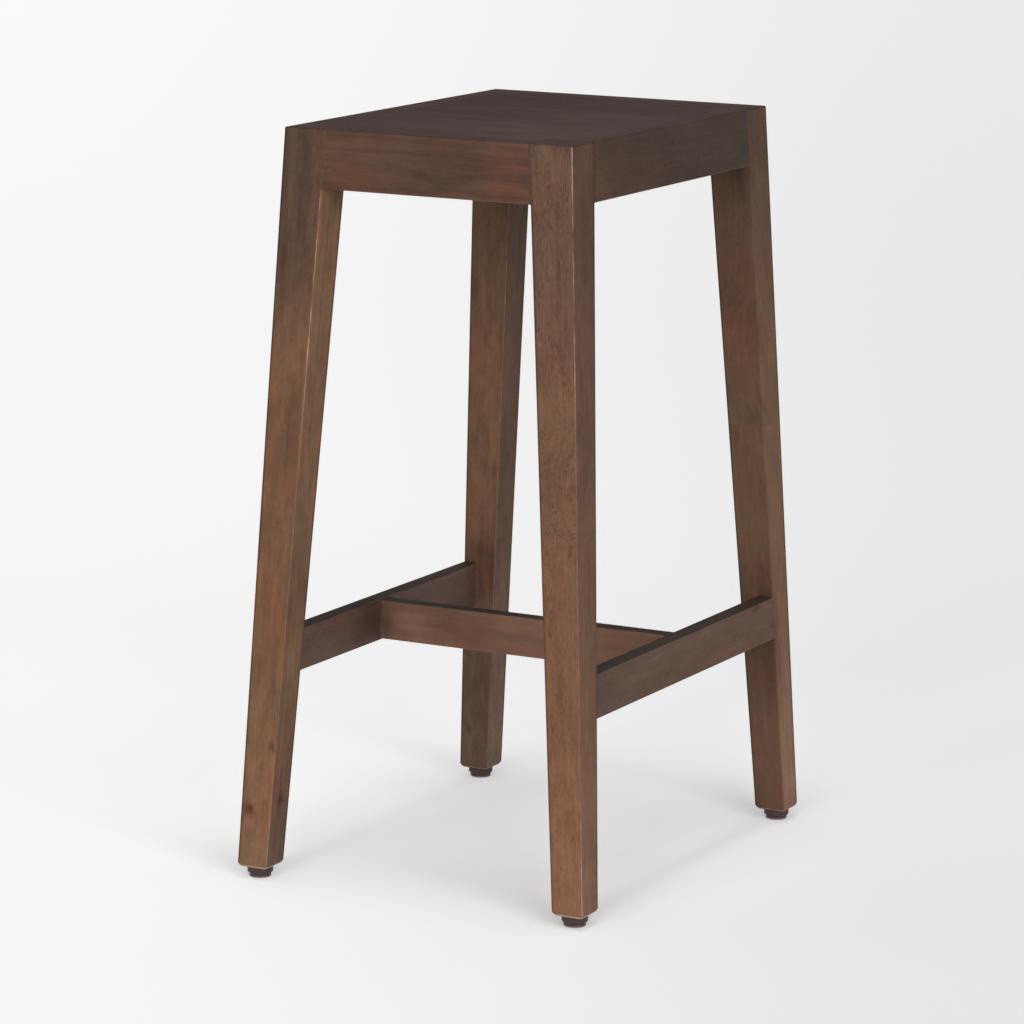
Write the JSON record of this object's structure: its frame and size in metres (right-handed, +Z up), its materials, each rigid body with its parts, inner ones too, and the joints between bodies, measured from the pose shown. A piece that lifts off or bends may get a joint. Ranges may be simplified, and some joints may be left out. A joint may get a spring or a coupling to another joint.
{
  "type": "bar stool",
  "caption": "Backless wooden counter stool with a flush framed seat, tapered legs splayed both ways, an H-shaped stretcher footrest and screw-in levelling feet.",
  "frame": {"origin": "on the floor under the middle of the seat", "axes": "X runs along the front of the seat from left to right, Y from front to rear, Z up"},
  "size_m": [0.3408, 0.4348, 0.66],
  "materials": {
    "seat_wood": "dark walnut stain, satin",
    "apron_wood": "dark walnut stain, satin",
    "leg_wood": "walnut stain, satin, arrises a little worn",
    "stretcher_wood": "walnut stain, satin",
    "hidden_wood": "bare hardwood, sanded",
    "zinc_steel": "zinc plated",
    "foot_plastic": "dark brown moulded nylon"
  },
  "bodies": {
    "frame": {"seat_board_front": "seat_wood", "seat_board_middle": "seat_wood", "seat_board_rear": "seat_wood", "apron_front": "apron_wood", "apron_rear": "apron_wood", "apron_left": "apron_wood", "apron_right": "apron_wood", "stretcher_left": "stretcher_wood", "stretcher_right": "stretcher_wood", "stretcher_centre": "stretcher_wood", "seat_cleat_left": "hidden_wood", "seat_cleat_right": "hidden_wood", "leg_front_left": "leg_wood", "corner_block_front_left": "hidden_wood", "foot_insert_front_left": "zinc_steel", "leg_front_right": "leg_wood", "corner_block_front_right": "hidden_wood", "foot_insert_front_right": "zinc_steel", "leg_rear_left": "leg_wood", "corner_block_rear_left": "hidden_wood", "foot_insert_rear_left": "zinc_steel", "leg_rear_right": "leg_wood", "corner_block_rear_right": "hidden_wood", "foot_insert_rear_right": "zinc_steel", "frame_screws": "zinc_steel", "seat_screws": "zinc_steel"},
    "front_left_pad": {"foot_pad_front_left": "foot_plastic"},
    "front_left_screw": {"foot_stem_front_left": "zinc_steel", "foot_collar_front_left": "foot_plastic"},
    "front_right_pad": {"foot_pad_front_right": "foot_plastic"},
    "front_right_screw": {"foot_stem_front_right": "zinc_steel", "foot_collar_front_right": "foot_plastic"},
    "rear_left_pad": {"foot_pad_rear_left": "foot_plastic"},
    "rear_left_screw": {"foot_stem_rear_left": "zinc_steel", "foot_collar_rear_left": "foot_plastic"},
    "rear_right_pad": {"foot_pad_rear_right": "foot_plastic"},
    "rear_right_screw": {"foot_stem_rear_right": "zinc_steel", "foot_collar_rear_right": "foot_plastic"}
  },
  "joints": [
    {"name": "front_left_foot_height", "type": "slide", "parent": "frame", "child": "front_left_pad", "axis": [0, 0, -1], "range_m": [0, 0.01]},
    {"name": "front_left_foot_turn", "type": "hinge", "parent": "front_left_pad", "child": "front_left_screw", "pos_m": [-0.15565, -0.20265, 0], "axis": [0, 0, -1], "range_deg": [0, 2880]},
    {"name": "front_right_foot_height", "type": "slide", "parent": "frame", "child": "front_right_pad", "axis": [0, 0, -1], "range_m": [0, 0.01]},
    {"name": "front_right_foot_turn", "type": "hinge", "parent": "front_right_pad", "child": "front_right_screw", "pos_m": [0.15565, -0.20265, 0], "axis": [0, 0, -1], "range_deg": [0, 2880]},
    {"name": "rear_left_foot_height", "type": "slide", "parent": "frame", "child": "rear_left_pad", "axis": [0, 0, -1], "range_m": [0, 0.01]},
    {"name": "rear_left_foot_turn", "type": "hinge", "parent": "rear_left_pad", "child": "rear_left_screw", "pos_m": [-0.15565, 0.20265, 0], "axis": [0, 0, -1], "range_deg": [0, 2880]},
    {"name": "rear_right_foot_height", "type": "slide", "parent": "frame", "child": "rear_right_pad", "axis": [0, 0, -1], "range_m": [0, 0.01]},
    {"name": "rear_right_foot_turn", "type": "hinge", "parent": "rear_right_pad", "child": "rear_right_screw", "pos_m": [0.15565, 0.20265, 0], "axis": [0, 0, -1], "range_deg": [0, 2880]}
  ],
  "couplings": [
    {"joint": "front_left_foot_height", "follows": "front_left_foot_turn", "m_per_rad": 0.00019894},
    {"joint": "front_right_foot_height", "follows": "front_right_foot_turn", "m_per_rad": 0.00019894},
    {"joint": "rear_left_foot_height", "follows": "rear_left_foot_turn", "m_per_rad": 0.00019894},
    {"joint": "rear_right_foot_height", "follows": "rear_right_foot_turn", "m_per_rad": 0.00019894}
  ]
}
